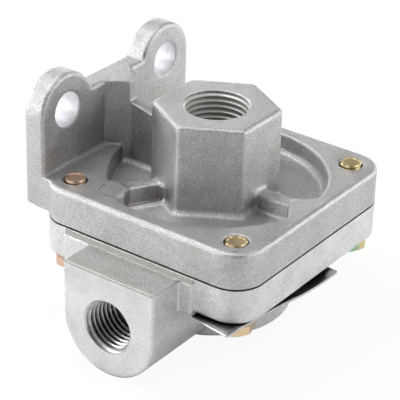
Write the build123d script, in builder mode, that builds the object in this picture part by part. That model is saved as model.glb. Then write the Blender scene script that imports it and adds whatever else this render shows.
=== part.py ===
from build123d import *
from math import acos, atan2, degrees, hypot
import os

os.makedirs("parts", exist_ok=True)

# Quick exhaust valve, in millimetres
# The origin is the centre of the supply port's mouth and +Z points out of that port.
# The mounting wall stands on the -X side and the delivery ports open along -Y and +Y.

# Plates: the cover and the body's flange share one outline, a rim round the cover's recess
recess_radius = 26.8
recess_rim_x = 3.2
recess_rim_y = 3.7
plate_corner = 7.5
cover_thickness = 9.2
flange_thickness = 9.4
parting_edge_break = 0.25
cover_edge_round = 1.0
flange_edge_break = 0.9

# Supply tower: a hexagon with two flats across X
tower_height = 26.9
tower_flats = 27.0
tower_corner_round = 0.8
tower_edge_break = 0.4
supply_bore_radius = 8.2
supply_bore_depth = 14.0
supply_mouth_chamfer = 0.3
supply_passage_radius = 6.2

# Round recess in the cover's top, with ribs from the tower to its rim
recess_floor_height = 4.5
recess_floor_break = 1.0
recess_rim_break = 0.5
rib_count = 3
rib_width = 3.4
rib_drop = 0.4
rib_pad_radius = 3.1
rib_pad_inset = 0.8
rib_root_fillet = 0.8

# Mounting wall with two ears
wall_inset = 0.5
wall_thickness = 5.7
wall_bottom_height = 0.6
wall_bottom_corner = 1.0
wall_edge_break = 0.6
wall_root_fillet = 1.2
saddle_height = 26.1
saddle_fillet = 1.5
ear_radius = 9.2
ear_spacing = 38.1
ear_hole_height = 23.6
ear_hole_radius = 4.365

# Buttress on the wall, and the web from it to the tower
buttress_wall_half_width = 5.2
buttress_front_half_width = 1.7
buttress_depth = 4.7
buttress_edge_round = 0.6
web_thickness = 3.0
web_height_at_wall = 20.7
web_height_at_tower = 18.0

# Body drum, flow chamber and exhaust tube
drum_radius = 19.7
drum_height = 25.1
drum_bottom_break = 0.7
chamber_radius = 16.5
chamber_floor = 3.5
exhaust_bore_radius = 6.3
exhaust_mouth_chamfer = 0.5
exhaust_tube_wall = 1.7
spring_ledge_width = 3.0
spring_ledge_depth = 12.0

# Delivery ports: bosses with a flat top and a round underside
delivery_reach = 40.8
delivery_axis_depth = 14.5
delivery_boss_radius = 13.05
delivery_boss_top_depth = 1.5
delivery_edge_break = 0.4
delivery_bore_radius = 6.7
delivery_bore_depth = 13.0
delivery_mouth_chamfer = 0.3
delivery_passage_radius = 5.0

# Pads on the flange's sides, behind the delivery bosses
pad_wall_side_setback = 9.0
pad_far_side_setback = 13.0
pad_stand_out = 0.9
pad_slope_start = 0.4
pad_edge_round = 0.8

# Cap screws, lock washers and their holes
screw_edge_x = 6.8
screw_edge_y = 6.5
screw_radius = 2.75
screw_length = 20.1
screw_point_chamfer = 0.5
screw_head_flats = 9.5
screw_head_height = 2.4
screw_head_chamfer = 0.45
washer_radius = 4.8
washer_thickness = 0.9
washer_split = 0.8
thread_clearance = 0.05
flange_hole_clearance = 0.3
cover_hole_chamfer = 0.25

# Tag strip under the head of the front screw
tag_width = 11.4
tag_length = 39.9
tag_thickness = 0.5
tag_overhang = 1.2
tag_drum_clearance = 0.33
tag_corner_round = 0.6

# Diaphragm between its two seats
cavity_height = 2.0
inlet_seat_radius = 8.2
inlet_seat_drop = 1.2
seat_clearance = 0.05
diaphragm_gap = 0.4
diaphragm_thickness = 2.5
diaphragm_travel = 2.5
diaphragm_hub_radius = 4.6
diaphragm_hub_height = 1.6
diaphragm_hub_break = 0.7
diaphragm_lip_width = 1.6
diaphragm_lip_drop = 0.7

# Spring and the pressed ring that it pushes on
spring_seat_thickness = 0.6
spring_seat_lip = 1.1
spring_wire_radius = 0.5
wire_sides = 6
spring_turns = 3.5
spring_side_gap = 0.45
spring_end_gap = 0.05

# Seal ring and its groove in the flange
seal_radius = 20.6
seal_width = 2.0
seal_height = 1.3
seal_groove_width = 2.4

# Places, heights and radii that several pieces share
plate_x = 2 * (recess_radius + recess_rim_x)
plate_y = 2 * (recess_radius + recess_rim_y)
screw_x = plate_x / 2 - screw_edge_x
screw_y = plate_y / 2 - screw_edge_y
rib_pad_place = recess_radius - rib_pad_inset
wall_inner_x = wall_inset - plate_x / 2
tag_hole_from_end = screw_edge_y + tag_overhang
parting_z = -tower_height
plate_top_z = parting_z + cover_thickness
floor_z = parting_z + recess_floor_height
rib_top_z = plate_top_z - rib_drop
wall_bottom_z = parting_z + wall_bottom_height
ear_z = parting_z + ear_hole_height
saddle_z = parting_z + saddle_height
wall_mid_x = wall_inner_x - wall_thickness / 2
wall_length = ear_spacing + 2 * ear_radius
wall_foot_reach = plate_corner - plate_x / 2 - wall_mid_x
buttress_front_x = wall_inner_x + buttress_depth
flange_bottom_z = parting_z - flange_thickness
drum_bottom_z = parting_z - drum_height
delivery_axis_z = parting_z - delivery_axis_depth
delivery_top_z = parting_z - delivery_boss_top_depth
cavity_z = parting_z + cavity_height
inlet_seat_z = cavity_z - inlet_seat_drop
diaphragm_top_z = inlet_seat_z - seat_clearance
diaphragm_bottom_z = diaphragm_top_z - diaphragm_thickness
spring_seat_bottom_z = diaphragm_bottom_z - spring_seat_thickness
exhaust_seat_z = diaphragm_bottom_z - diaphragm_travel - seat_clearance
spring_ledge_z = parting_z - spring_ledge_depth
chamber_floor_z = drum_bottom_z + chamber_floor
exhaust_tube_radius = exhaust_bore_radius + exhaust_tube_wall
spring_ledge_radius = exhaust_tube_radius + spring_ledge_width
spring_seat_bore = exhaust_tube_radius + spring_side_gap
spring_radius = spring_seat_bore + spring_wire_radius
screw_hole_radius = screw_radius + flange_hole_clearance
screw_places = [(screw_x, -screw_y), (screw_x, screw_y), (-screw_x, screw_y), (-screw_x, -screw_y)]
screw_turns = [50.0, 3.0, 5.0, 13.0]
on_level = 0.01


# Plate outline, shared by the cover and the body's flange
with BuildSketch() as plate_outline:
    RectangleRounded(plate_x, plate_y, plate_corner)

# Mounting wall: two round ears over straight sides, joined by the saddle
with BuildPart() as wall:
    with BuildSketch(Plane.YZ.offset(wall_mid_x)) as wall_section:
        with Locations((0, (wall_bottom_z + ear_z) / 2)):
            Rectangle(wall_length, ear_z - wall_bottom_z)
        with Locations((0, (ear_z + saddle_z) / 2)):
            Rectangle(ear_spacing, saddle_z - ear_z)
        with Locations((-ear_spacing / 2, ear_z), (ear_spacing / 2, ear_z)):
            Circle(ear_radius)
        fillet(wall_section.vertices().group_by(Axis.Y)[0], wall_bottom_corner)
        fillet(wall_section.vertices().group_by(Axis.Y)[-1], saddle_fillet)
    extrude(amount=wall_thickness / 2, both=True)
    chamfer(wall.faces().filter_by(Axis.X).edges(), wall_edge_break)

# Buttress: a wedge up the middle of the wall's inner face
with BuildPart() as buttress:
    with BuildSketch(Plane.XY.offset(floor_z)):
        with BuildLine():
            Polyline(
                (wall_mid_x, -buttress_wall_half_width),
                (wall_inner_x, -buttress_wall_half_width),
                (buttress_front_x, -buttress_front_half_width),
                (buttress_front_x, buttress_front_half_width),
                (wall_inner_x, buttress_wall_half_width),
                (wall_mid_x, buttress_wall_half_width),
                close=True,
            )
        make_face()
    extrude(amount=saddle_z - floor_z)
    fillet(buttress.edges().filter_by(Axis.Z).group_by(Axis.X)[-1], buttress_edge_round)

# Cover: plate with the recess, ribs, tower, web and mounting wall
with BuildPart() as cover:
    with BuildSketch(Plane.XY.offset(parting_z)):
        add(plate_outline.sketch)
    extrude(amount=cover_thickness)
    chamfer(cover.faces().sort_by(Axis.Z)[0].edges(), parting_edge_break)
    fillet(cover.faces().sort_by(Axis.Z)[-1].edges(), cover_edge_round)

    # The wall's foot fills the plate's corners on the wall side
    with BuildSketch(Plane.XY.offset(wall_bottom_z)):
        with Locations((wall_mid_x, 0)):
            Rectangle(wall_foot_reach, wall_length, align=(Align.MIN, Align.CENTER))
    extrude(amount=plate_top_z - wall_bottom_z)

    with BuildSketch(Plane.XY.offset(floor_z)):
        Circle(recess_radius)
    extrude(amount=cover_thickness, mode=Mode.SUBTRACT)
    chamfer(cover.edges().filter_by(GeomType.CIRCLE).group_by(Axis.Z)[-1], recess_rim_break)

    add(wall.part)
    with BuildSketch(Plane.XZ):
        with BuildLine():
            Line((wall_mid_x, plate_top_z + wall_root_fillet), (wall_inner_x, plate_top_z + wall_root_fillet))
            RadiusArc(
                (wall_inner_x, plate_top_z + wall_root_fillet),
                (wall_inner_x + wall_root_fillet, plate_top_z),
                -wall_root_fillet,
            )
            Polyline(
                (wall_inner_x + wall_root_fillet, plate_top_z),
                (wall_inner_x + wall_root_fillet, parting_z + cover_thickness / 2),
                (wall_mid_x, parting_z + cover_thickness / 2),
                (wall_mid_x, plate_top_z + wall_root_fillet),
            )
        make_face()
    extrude(amount=plate_y / 2 - plate_corner, both=True)
    add(buttress.part)

    with BuildSketch(Plane.XZ):
        with BuildLine():
            Polyline(
                (buttress_front_x - web_thickness / 2, floor_z),
                (0, floor_z),
                (0, parting_z + web_height_at_tower),
                (-tower_flats / 2, parting_z + web_height_at_tower),
                (buttress_front_x, parting_z + web_height_at_wall),
                (buttress_front_x - web_thickness / 2, parting_z + web_height_at_wall),
                close=True,
            )
        make_face()
    extrude(amount=web_thickness / 2, both=True)

    with BuildSketch(Plane.XY.offset(floor_z)):
        with PolarLocations(recess_radius / 2, rib_count):
            Rectangle(recess_radius, rib_width)
        Circle(recess_radius + on_level, mode=Mode.INTERSECT)
    extrude(amount=rib_top_z - floor_z)
    with BuildSketch(Plane.XY.offset(floor_z)):
        with PolarLocations(rib_pad_place, rib_count):
            Circle(rib_pad_radius)
    extrude(amount=rib_top_z - floor_z)
    with BuildSketch(Plane.XY.offset(rib_top_z)):
        with PolarLocations(rib_pad_place, rib_count):
            Circle(rib_pad_radius)
    extrude(amount=cover_thickness, mode=Mode.SUBTRACT)

    with BuildSketch(Plane.XY.offset(floor_z)) as tower_section:
        RegularPolygon(tower_flats / 2, 6, major_radius=False, rotation=30)
        fillet(tower_section.vertices(), tower_corner_round)
    extrude(amount=-floor_z)
    chamfer(cover.edges().filter_by_position(Axis.Z, floor_z - on_level, floor_z + on_level), recess_floor_break)
    rib_tops = cover.edges().filter_by_position(Axis.Z, rib_top_z - on_level, rib_top_z + on_level)
    tower_axis = Vector(0, 0, rib_top_z)
    fillet(rib_tops.filter_by(lambda edge: abs(edge.center() - tower_axis) < tower_flats / 2 + 1), rib_root_fillet)

    # Flow path: supply bore, passage, diaphragm cavity and inlet seat
    with BuildSketch(Plane.XY.offset(parting_z)):
        Circle(chamber_radius)
    extrude(amount=cavity_height, mode=Mode.SUBTRACT)
    with BuildSketch(Plane.XY.offset(inlet_seat_z)):
        Circle(inlet_seat_radius)
    extrude(amount=inlet_seat_drop)
    CounterBoreHole(supply_passage_radius, supply_bore_radius, supply_bore_depth, tower_height)
    tower_top = cover.faces().filter_by(Axis.Z).sort_by(lambda face: abs(face.center().Z))[0]
    chamfer(tower_top.inner_wires().edges(), supply_mouth_chamfer)
    chamfer(tower_top.outer_wire().edges(), tower_edge_break)

    # Holes: mounting holes through the ears, tapped holes for the cap screws
    with BuildSketch(Plane.YZ.offset(wall_mid_x)):
        with Locations((-ear_spacing / 2, ear_z), (ear_spacing / 2, ear_z)):
            Circle(ear_hole_radius)
    extrude(amount=wall_thickness, both=True, mode=Mode.SUBTRACT)
    with Locations([(x, y, plate_top_z) for x, y in screw_places]):
        Hole(screw_radius + thread_clearance, cover_thickness)
    tapped_rims = cover.edges().filter_by(GeomType.CIRCLE).filter_by_position(
        Axis.Z, plate_top_z - on_level, plate_top_z + on_level
    )
    chamfer(tapped_rims.filter_by(lambda rim: rim.radius < screw_hole_radius), cover_hole_chamfer)

cover.part.label = "cover"
export_step(cover.part, "parts/cover.step")

# Body: flange, drum and the two delivery bosses around the flow chamber
with BuildPart() as body:
    with BuildSketch(Plane.XY.offset(flange_bottom_z)):
        add(plate_outline.sketch)
    extrude(amount=flange_thickness)
    chamfer(body.faces().sort_by(Axis.Z)[-1].edges(), parting_edge_break)
    chamfer(body.faces().sort_by(Axis.Z)[0].edges(), flange_edge_break)

    with BuildSketch(Plane.XY.offset(drum_bottom_z)):
        Circle(drum_radius)
    extrude(amount=drum_height - flange_thickness / 2)
    chamfer(body.faces().sort_by(Axis.Z)[0].edges(), drum_bottom_break)

    with BuildSketch(Plane.YZ) as pad_section:
        with BuildLine():
            Polyline(
                (0, flange_bottom_z),
                (plate_y / 2 + pad_stand_out, flange_bottom_z),
                (plate_y / 2 + pad_stand_out, delivery_top_z),
                (plate_y / 2, parting_z - pad_slope_start),
                (0, parting_z - pad_slope_start),
                close=True,
            )
        make_face()
        mirror(about=Plane.YZ)
    extrude(amount=plate_x / 2 - pad_far_side_setback)
    extrude(to_extrude=pad_section.sketch, amount=pad_wall_side_setback - plate_x / 2)
    pad_fronts = body.faces().filter_by(Axis.Y).group_by(Axis.Y)
    pad_ends = pad_fronts[0].edges().filter_by(Axis.Z) + pad_fronts[-1].edges().filter_by(Axis.Z)
    fillet(pad_ends, pad_edge_round)

    with BuildSketch(Plane.XZ):
        with BuildLine():
            Polyline(
                (-delivery_boss_radius, delivery_axis_z),
                (-delivery_boss_radius, delivery_top_z),
                (delivery_boss_radius, delivery_top_z),
                (delivery_boss_radius, delivery_axis_z),
            )
            ThreePointArc(
                (delivery_boss_radius, delivery_axis_z),
                (0, delivery_axis_z - delivery_boss_radius),
                (-delivery_boss_radius, delivery_axis_z),
            )
        make_face()
    extrude(amount=delivery_reach, both=True)
    boss_ends = body.faces().filter_by(Axis.Y).group_by(Axis.Y)
    chamfer(boss_ends[0].edges() + boss_ends[-1].edges(), delivery_edge_break)

    # The bosses hang lower than the drum, and end round the exhaust face
    with BuildSketch(Plane.XY.offset(drum_bottom_z)):
        Circle(drum_radius - drum_bottom_break)
    extrude(amount=-drum_height, mode=Mode.SUBTRACT)

    # Flow chamber with the exhaust tube and the spring's ledge standing in it
    with BuildSketch(Plane.XY.offset(parting_z)):
        Circle(chamber_radius)
    extrude(amount=chamber_floor_z - parting_z, mode=Mode.SUBTRACT)
    with BuildSketch(Plane.XY.offset(chamber_floor_z)):
        Circle(spring_ledge_radius)
    extrude(amount=spring_ledge_z - chamber_floor_z)
    with BuildSketch(Plane.XY.offset(spring_ledge_z)):
        Circle(exhaust_tube_radius)
    extrude(amount=exhaust_seat_z - spring_ledge_z)
    with Locations((0, 0, exhaust_seat_z)):
        Hole(exhaust_bore_radius, exhaust_seat_z - drum_bottom_z)
    exhaust_face = body.faces().filter_by(Axis.Z).filter_by_position(
        Axis.Z, drum_bottom_z - on_level, drum_bottom_z + on_level
    )
    chamfer(exhaust_face.sort_by(SortBy.AREA)[-1].inner_wires().edges(), exhaust_mouth_chamfer)

    # Delivery ports
    passage_end = (spring_ledge_radius + chamber_radius) / 2
    port_planes = [
        Plane(origin=(0, side * delivery_reach, delivery_axis_z), x_dir=(1, 0, 0), z_dir=(0, side, 0))
        for side in (-1, 1)
    ]
    with Locations(*port_planes):
        CounterBoreHole(
            delivery_passage_radius, delivery_bore_radius, delivery_bore_depth, delivery_reach - passage_end
        )
    for face in (body.faces().sort_by(Axis.Y)[0], body.faces().sort_by(Axis.Y)[-1]):
        chamfer(face.inner_wires().edges(), delivery_mouth_chamfer)

    # Groove for the seal ring and clearance holes for the cap screws
    with BuildSketch(Plane.XY.offset(parting_z)):
        Circle(seal_radius + seal_groove_width / 2)
        Circle(seal_radius - seal_groove_width / 2, mode=Mode.SUBTRACT)
    extrude(amount=-seal_height, mode=Mode.SUBTRACT)
    with Locations([(x, y, parting_z) for x, y in screw_places]):
        Hole(screw_hole_radius, flange_thickness)

body.part.label = "body"
export_step(body.part, "parts/body.step")

# Seal ring, squeezed flat between the groove and the cover
with BuildPart() as seal_ring:
    with BuildSketch(Plane.XZ):
        with Locations((seal_radius, parting_z - seal_height / 2)):
            Rectangle(seal_width, seal_height)
    revolve(axis=Axis.Z)

seal_ring.part.label = "seal_ring"
export_step(seal_ring.part, "parts/seal_ring.step")

# Diaphragm: a disc with a hub in the inlet passage and a lip round its edge
with BuildPart() as diaphragm:
    with BuildSketch(Plane.XY.offset(diaphragm_bottom_z)):
        Circle(chamber_radius - diaphragm_gap)
    extrude(amount=diaphragm_thickness)
    with BuildSketch(Plane.XY.offset(diaphragm_bottom_z)):
        Circle(chamber_radius - diaphragm_gap)
        Circle(chamber_radius - diaphragm_gap - diaphragm_lip_width, mode=Mode.SUBTRACT)
    extrude(amount=-diaphragm_lip_drop)
    with BuildSketch(Plane.XY.offset(diaphragm_top_z)):
        Circle(diaphragm_hub_radius)
    extrude(amount=diaphragm_hub_height)
    chamfer(diaphragm.faces().sort_by(Axis.Z)[-1].edges(), diaphragm_hub_break)

diaphragm.part.label = "diaphragm"
export_step(diaphragm.part, "parts/diaphragm.step")

# Spring seat: a pressed ring with a lip that keeps the spring centred
lip_inner_radius = spring_radius + spring_wire_radius + spring_side_gap
with BuildPart() as spring_seat:
    with BuildSketch(Plane.XY.offset(diaphragm_bottom_z)):
        Circle(lip_inner_radius + spring_seat_thickness)
        Circle(spring_seat_bore, mode=Mode.SUBTRACT)
    extrude(amount=-spring_seat_thickness)
    with BuildSketch(Plane.XY.offset(spring_seat_bottom_z)):
        Circle(lip_inner_radius + spring_seat_thickness)
        Circle(lip_inner_radius, mode=Mode.SUBTRACT)
    extrude(amount=-spring_seat_lip)

spring_seat.part.label = "spring_seat"
export_step(spring_seat.part, "parts/spring_seat.step")

# Spring: wire wound round the exhaust tube, from the ledge to the spring seat.
# The wire is given flats instead of a round section, to keep its mesh light.
coil_start_z = spring_ledge_z + spring_wire_radius + spring_end_gap
coil_height = spring_seat_bottom_z - spring_wire_radius - spring_end_gap - coil_start_z
with BuildPart() as spring:
    with BuildLine() as coil:
        Helix(coil_height / spring_turns, coil_height, spring_radius, center=(0, 0, coil_start_z))
    with BuildSketch(coil.line ^ 0):
        RegularPolygon(spring_wire_radius, wire_sides)
    sweep(is_frenet=True)

spring.part.label = "spring"
export_step(spring.part, "parts/spring.step")

# Tag strip, flat under the flange and turned about the front screw until it clears the drum
front_x, front_y = screw_places[0]
tag_side_reach = drum_radius + tag_drum_clearance + tag_width / 2
tag_turn = degrees(atan2(screw_y, screw_x) - acos(tag_side_reach / hypot(screw_x, screw_y)))
with BuildPart() as tag_plate:
    with BuildSketch(Plane((front_x, front_y, flange_bottom_z)).rotated((0, 0, -tag_turn))):
        with Locations((0, tag_length / 2 - tag_hole_from_end)):
            RectangleRounded(tag_width, tag_length, tag_corner_round)
        Circle(screw_hole_radius, mode=Mode.SUBTRACT)
    extrude(amount=-tag_thickness)

tag_plate.part.label = "tag_plate"
export_step(tag_plate.part, "parts/tag_plate.step")

# Lock washers and cap screws: the front pair sits lower by the tag strip's thickness
for number, ((x, y), turn) in enumerate(zip(screw_places, screw_turns), start=1):
    washer_top_z = flange_bottom_z - (tag_thickness if number == 1 else 0)
    head_top_z = washer_top_z - washer_thickness
    with BuildPart() as lock_washer:
        with BuildSketch(Plane((x, y, washer_top_z))):
            Circle(washer_radius)
            Circle(screw_hole_radius, mode=Mode.SUBTRACT)
        extrude(amount=-washer_thickness)
        with BuildSketch(Plane((x, y, washer_top_z)).rotated((0, 0, turn))):
            with Locations((washer_radius / 2, 0)):
                Rectangle(washer_radius, washer_split)
        extrude(amount=-washer_thickness, mode=Mode.SUBTRACT)
    lock_washer.part.label = f"lock_washer_{number}"
    export_step(lock_washer.part, f"parts/{lock_washer.part.label}.step")

    with BuildPart() as cap_screw:
        with BuildSketch(Plane((x, y, head_top_z)).rotated((0, 0, turn))):
            Circle(screw_head_flats / 3**0.5)
        extrude(amount=-screw_head_height)
        chamfer(cap_screw.faces().sort_by(Axis.Z)[0].edges(), screw_head_chamfer)
        with BuildSketch(Plane((x, y, head_top_z)).rotated((0, 0, turn))):
            RegularPolygon(screw_head_flats / 2, 6, major_radius=False, rotation=30)
        extrude(amount=-screw_head_height, mode=Mode.INTERSECT)
        with BuildSketch(Plane((x, y, head_top_z))):
            Circle(screw_radius)
        extrude(amount=screw_length)
        chamfer(cap_screw.faces().sort_by(Axis.Z)[-1].edges(), screw_point_chamfer)
    cap_screw.part.label = f"cap_screw_{number}"
    export_step(cap_screw.part, f"parts/{cap_screw.part.label}.step")
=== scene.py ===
import bpy
import bmesh
import math
from mathutils import Matrix, Vector


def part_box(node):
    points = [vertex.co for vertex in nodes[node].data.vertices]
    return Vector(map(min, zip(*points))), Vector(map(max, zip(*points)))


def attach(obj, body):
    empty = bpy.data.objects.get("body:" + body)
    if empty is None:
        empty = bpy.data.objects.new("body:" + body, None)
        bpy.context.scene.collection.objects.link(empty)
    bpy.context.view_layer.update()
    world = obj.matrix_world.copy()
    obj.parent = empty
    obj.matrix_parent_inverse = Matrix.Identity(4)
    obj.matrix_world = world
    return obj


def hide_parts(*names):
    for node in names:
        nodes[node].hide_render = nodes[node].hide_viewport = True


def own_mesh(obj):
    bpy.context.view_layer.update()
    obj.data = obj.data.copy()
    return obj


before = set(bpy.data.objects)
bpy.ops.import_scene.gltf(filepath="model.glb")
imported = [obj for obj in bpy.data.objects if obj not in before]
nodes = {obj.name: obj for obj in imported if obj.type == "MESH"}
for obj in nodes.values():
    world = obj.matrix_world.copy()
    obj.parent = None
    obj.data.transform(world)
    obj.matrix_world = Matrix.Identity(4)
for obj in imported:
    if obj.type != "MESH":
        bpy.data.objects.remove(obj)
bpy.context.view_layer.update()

mm = 0.001
weld = 0.001 * mm       # points nearer than this are one
fineWeld = 0.0001 * mm
overrun = 1.0           # mm that a cutter runs past what it cuts
apart = 0.01            # mm that keeps the walls of two cutters from coinciding
print("frame loaded:", len(nodes), "nodes")


# mesh helpers

def linked(name, data):
    holder = bpy.data.objects.new(name, data)
    bpy.context.scene.collection.objects.link(holder)
    return holder


def meshObject(bm, name, material=None):
    mesh = bpy.data.meshes.new(name)
    bm.to_mesh(mesh)
    bm.free()
    if material:
        mesh.materials.append(material)
    return linked(name, mesh)


def mergedCopy(node):
    bm = bmesh.new()
    bm.from_mesh(nodes[node].data)
    bmesh.ops.remove_doubles(bm, verts=bm.verts, dist=weld)
    return bm


def bakeModifiers(piece):
    graph = bpy.context.evaluated_depsgraph_get()
    mesh = bpy.data.meshes.new_from_object(piece.evaluated_get(graph))
    piece.modifiers.clear()
    piece.data = mesh


def carve(piece, cutter, operation="DIFFERENCE"):
    # the new faces keep the cutter's own material
    cut = piece.modifiers.new("cut", "BOOLEAN")
    cut.solver = "MANIFOLD"
    cut.operation = operation
    cut.material_mode = "TRANSFER"
    cut.object = cutter
    bakeModifiers(piece)
    bpy.data.objects.remove(cutter)


def polyline(bm, points, closed=False):
    # points are (radius, height) in mm, in the plane y = 0
    verts = [bm.verts.new((x * mm, 0, z * mm)) for x, z in points]
    edges = [bm.edges.new(pair) for pair in zip(verts, verts[1:])]
    if closed:
        edges.append(bm.edges.new((verts[-1], verts[0])))
    return verts + edges


def section(inner, outer, low, high):
    # a ring's profile, or half a disc's where the inner radius is 0
    return [(inner, low), (outer, low), (outer, high), (inner, high)]


def turned(points, steps=96, closed=False):
    # a solid of revolution about Z; the profile starts and ends on the axis, or is closed
    bm = bmesh.new()
    bmesh.ops.spin(bm, geom=polyline(bm, points, closed), cent=(0, 0, 0), axis=(0, 0, 1),
                   angle=2 * math.pi, steps=steps, use_merge=True)
    bmesh.ops.remove_doubles(bm, verts=bm.verts, dist=fineWeld)
    bmesh.ops.recalc_face_normals(bm, faces=bm.faces)
    return bm


def disc(radius, low, high, steps=96):
    return turned(section(0, radius, low, high), steps)


def closeEnds(bm):
    bmesh.ops.holes_fill(bm, edges=[e for e in bm.edges if len(e.link_faces) < 2], sides=0)


def uprightEdges(bm):
    return [e for e in bm.edges if abs(e.verts[0].co.z - e.verts[1].co.z) > weld]


def sharpEdges(bm, angle=1.0):
    # the edges whose faces turn by more than the angle, in radians
    return [e for e in bm.edges if e.calc_face_angle(0) > angle]


def roundEdges(bm, edges, width, segments):
    bmesh.ops.bevel(bm, geom=edges, offset=width * mm, offset_type="OFFSET", affect="EDGES",
                    segments=segments, profile=0.5, material=-1)


def threadedRod(thread, bottom, top, steps=72):
    # a right-hand screw thread about Z, closed at both ends
    bm = bmesh.new()
    pitch = thread["pitch"]
    turns = round((top - bottom) / pitch)
    points = [(0, bottom)]
    for i in range(turns):
        z = bottom + i * pitch
        points += [(thread["root"], z), (thread["root"], z + thread["flat"] * pitch),
                   (thread["crest"], z + 0.5 * pitch), (thread["crest"], z + (0.5 + thread["flat"]) * pitch)]
    points += [(thread["root"], bottom + turns * pitch), (0, bottom + turns * pitch)]
    bmesh.ops.spin(bm, geom=polyline(bm, points), cent=(0, 0, 0), axis=(0, 0, 1),
                   dvec=(0, 0, pitch * mm / steps), angle=2 * math.pi, steps=steps, use_merge=False)
    bmesh.ops.remove_doubles(bm, verts=bm.verts, dist=weld)
    closeEnds(bm)
    bmesh.ops.delete(bm, geom=[e for e in bm.edges if not e.link_faces], context="EDGES")
    for vert in bm.verts:  # a pipe thread's taper narrows it towards its bottom
        shrink = thread["taper"] * vert.co.z
        radius = math.hypot(vert.co.x, vert.co.y)
        if radius > weld:  # not on the axis
            vert.co.xy *= (radius + shrink) / radius
    bmesh.ops.recalc_face_normals(bm, faces=bm.faces)
    return bm


def towards(direction, place):
    # turns +Z to the direction, then moves to the place in mm
    turn = Vector((0, 0, 1)).rotation_difference(Vector(direction)).to_matrix().to_4x4()
    return Matrix.Translation(Vector(place) * mm) @ turn


def placed(piece, matrix):
    piece.data.transform(matrix)
    return piece


def shadeSmooth(piece, degrees=30):
    piece.data.shade_smooth()
    piece.data.set_sharp_from_angle(angle=math.radians(degrees))


# materials

def nodeGroup(name, inputs, outputs):
    group = bpy.data.node_groups.new(name, "ShaderNodeTree")
    for label, kind, default in inputs:
        socket = group.interface.new_socket(label, in_out="INPUT", socket_type=kind)
        socket.default_value = default
    for label, kind in outputs:
        group.interface.new_socket(label, in_out="OUTPUT", socket_type=kind)
    return group, group.nodes.new("NodeGroupInput"), group.nodes.new("NodeGroupOutput")


def joinNodes(tree, *pairs):
    for start, end in pairs:
        tree.links.new(start, end)


def noiseNode(tree, scale, detail, roughness=0.5):
    noise = tree.nodes.new("ShaderNodeTexNoise")
    noise.inputs["Scale"].default_value = scale
    noise.inputs["Detail"].default_value = detail
    noise.inputs["Roughness"].default_value = roughness
    return noise


def rangeNode(tree, low, high, newLow=0.0, newHigh=1.0):
    spread = tree.nodes.new("ShaderNodeMapRange")
    for label, value in (("From Min", low), ("From Max", high), ("To Min", newLow), ("To Max", newHigh)):
        spread.inputs[label].default_value = value
    return spread


def mathNode(tree, operation, value=None):
    node = tree.nodes.new("ShaderNodeMath")
    node.operation = operation
    if value is not None:
        node.inputs[1].default_value = value
    return node


# grain: fine sand marks, broad mottling and a height for the bump
grainLook = {
    "fine": (3.0, 0.6),       # the noise's detail and roughness
    "mottle": (5.0, 0.65),
    "pitSpan": (0.0, 0.35),   # distance from a pit's middle to its rim, as a share of the grain's size
    "pitShare": 0.5,          # of the bump's height
}
grainGroup, grainIn, grainOut = nodeGroup(
    "sandGrain",
    [("Vector", "NodeSocketVector", (0, 0, 0)), ("Grain size", "NodeSocketFloat", 0.4),
     ("Mottle size", "NodeSocketFloat", 6.0)],
    [("Grain", "NodeSocketFloat"), ("Mottle", "NodeSocketFloat"), ("Height", "NodeSocketFloat")],
)
grainScale = mathNode(grainGroup, "DIVIDE")
grainScale.inputs[0].default_value = 1 / mm
mottleScale = mathNode(grainGroup, "DIVIDE")
mottleScale.inputs[0].default_value = 1 / mm
grainNoise = noiseNode(grainGroup, 1, *grainLook["fine"])
mottleNoise = noiseNode(grainGroup, 1, *grainLook["mottle"])
pitNoise = grainGroup.nodes.new("ShaderNodeTexVoronoi")
pitDepth = rangeNode(grainGroup, *grainLook["pitSpan"])
heightMix = mathNode(grainGroup, "ADD")
pitShare = mathNode(grainGroup, "MULTIPLY", grainLook["pitShare"])
joinNodes(
    grainGroup,
    (grainIn.outputs["Grain size"], grainScale.inputs[1]),
    (grainIn.outputs["Mottle size"], mottleScale.inputs[1]),
    (grainScale.outputs[0], grainNoise.inputs["Scale"]),
    (grainScale.outputs[0], pitNoise.inputs["Scale"]),
    (mottleScale.outputs[0], mottleNoise.inputs["Scale"]),
    (grainIn.outputs["Vector"], grainNoise.inputs["Vector"]),
    (grainIn.outputs["Vector"], pitNoise.inputs["Vector"]),
    (grainIn.outputs["Vector"], mottleNoise.inputs["Vector"]),
    (pitNoise.outputs["Distance"], pitDepth.inputs["Value"]),
    (pitDepth.outputs["Result"], pitShare.inputs[0]),
    (grainNoise.outputs["Fac"], heightMix.inputs[0]),
    (pitShare.outputs[0], heightMix.inputs[1]),
    (grainNoise.outputs["Fac"], grainOut.inputs["Grain"]),
    (mottleNoise.outputs["Fac"], grainOut.inputs["Mottle"]),
    (heightMix.outputs[0], grainOut.inputs["Height"]),
)

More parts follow.
